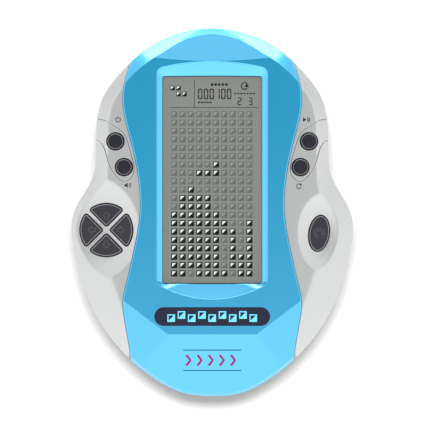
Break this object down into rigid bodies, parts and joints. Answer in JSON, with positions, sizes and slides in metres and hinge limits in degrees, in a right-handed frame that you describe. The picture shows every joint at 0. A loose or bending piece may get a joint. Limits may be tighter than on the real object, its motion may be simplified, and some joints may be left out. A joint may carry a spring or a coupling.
{
  "type": "handheld lcd game",
  "caption": "Egg-shaped handheld electronic game with a tall LCD, a four-way direction pad, a rotate key, small function keys and a battery door at the back.",
  "frame": {"origin": "centre of the flat rear face", "axes": "+X to the right seen from the front, +Y up the screen, +Z out of the front"},
  "size_m": [0.127, 0.1656, 0.03],
  "materials": {
    "silver_plastic": "pearl silver paint",
    "blue_plastic": "pearl blue paint",
    "key_plastic": "satin",
    "silicone": "matte",
    "clear": "clear",
    "foil": "satin",
    "black_plastic": "matte",
    "board": "solder mask",
    "cell_can": "satin",
    "steel": "satin"
  },
  "bodies": {
    "case": {"battery_lead_negative": "black_plastic", "battery_lead_positive": "black_plastic", "capacitor_1": "black_plastic", "capacitor_2": "black_plastic", "case_screw_1": "steel", "case_screw_2": "steel", "case_screw_3": "steel", "case_screw_4": "steel", "case_screw_5": "steel", "cell_1": "cell_can", "cell_2": "cell_can", "cell_3": "cell_can", "chip_blob": "black_plastic", "clip_screw_1": "steel", "clip_screw_2": "steel", "connector_strip_left": "silicone", "connector_strip_right": "silicone", "crystal": "steel", "down_dome": "silicone", "fascia": "blue_plastic", "front_shell": "silver_plastic", "key_plate_left": "silver_plastic", "key_plate_right": "silver_plastic", "lcd_cell": "clear", "lcd_holder": "black_plastic", "lcd_reflector": "foil", "left_dome": "silicone", "lens": "clear", "main_board": "board", "plate_contact_1": "steel", "plate_contact_2": "steel", "plate_contact_3": "steel", "power_dome": "silicone", "rear_shell": "silver_plastic", "reset_dome": "silicone", "right_dome": "silicone", "rotate_dome": "silicone", "sound_dome": "silicone", "speaker_clip": "steel", "speaker_cone": "black_plastic", "speaker_frame": "steel", "speaker_lead_a": "black_plastic", "speaker_lead_b": "black_plastic", "spring_contact_1": "steel", "spring_contact_2": "steel", "spring_contact_3": "steel", "start_dome": "silicone", "up_dome": "silicone"},
    "power_body": {"power_key": "key_plastic"},
    "sound_body": {"sound_key": "key_plastic"},
    "start_body": {"start_key": "key_plastic"},
    "reset_body": {"reset_key": "key_plastic"},
    "up_body": {"up_key": "key_plastic"},
    "left_body": {"left_key": "key_plastic"},
    "down_body": {"down_key": "key_plastic"},
    "right_body": {"right_key": "key_plastic"},
    "rotate_body": {"rotate_key": "key_plastic"},
    "door_body": {"battery_door": "silver_plastic"}
  },
  "joints": [
    {"name": "up_press", "type": "slide", "parent": "case", "child": "up_body", "axis": [0, 0, -1], "range_m": [0, 0.0009], "stiffness_N_per_m": 900, "springref_m": -0.0001, "deforming": ["up_dome"]},
    {"name": "left_press", "type": "slide", "parent": "case", "child": "left_body", "axis": [0, 0, -1], "range_m": [0, 0.0009], "stiffness_N_per_m": 900, "springref_m": -0.0001, "deforming": ["left_dome"]},
    {"name": "down_press", "type": "slide", "parent": "case", "child": "down_body", "axis": [0, 0, -1], "range_m": [0, 0.0009], "stiffness_N_per_m": 900, "springref_m": -0.0001, "deforming": ["down_dome"]},
    {"name": "right_press", "type": "slide", "parent": "case", "child": "right_body", "axis": [0, 0, -1], "range_m": [0, 0.0009], "stiffness_N_per_m": 900, "springref_m": -0.0001, "deforming": ["right_dome"]},
    {"name": "rotate_press", "type": "slide", "parent": "case", "child": "rotate_body", "axis": [0, 0, -1], "range_m": [0, 0.0009], "stiffness_N_per_m": 900, "springref_m": -0.0001, "deforming": ["rotate_dome"]},
    {"name": "power_press", "type": "slide", "parent": "case", "child": "power_body", "axis": [0, 0, -1], "range_m": [0, 0.0009], "stiffness_N_per_m": 900, "springref_m": -0.0001, "deforming": ["power_dome"]},
    {"name": "sound_press", "type": "slide", "parent": "case", "child": "sound_body", "axis": [0, 0, -1], "range_m": [0, 0.0009], "stiffness_N_per_m": 900, "springref_m": -0.0001, "deforming": ["sound_dome"]},
    {"name": "start_press", "type": "slide", "parent": "case", "child": "start_body", "axis": [0, 0, -1], "range_m": [0, 0.0009], "stiffness_N_per_m": 900, "springref_m": -0.0001, "deforming": ["start_dome"]},
    {"name": "reset_press", "type": "slide", "parent": "case", "child": "reset_body", "axis": [0, 0, -1], "range_m": [0, 0.0009], "stiffness_N_per_m": 900, "springref_m": -0.0001, "deforming": ["reset_dome"]},
    {"name": "door_swing", "type": "hinge", "parent": "case", "child": "door_body", "pos_m": [0, 0.0039, 0], "axis": [1, 0, 0], "range_deg": [0, 75]}
  ]
}
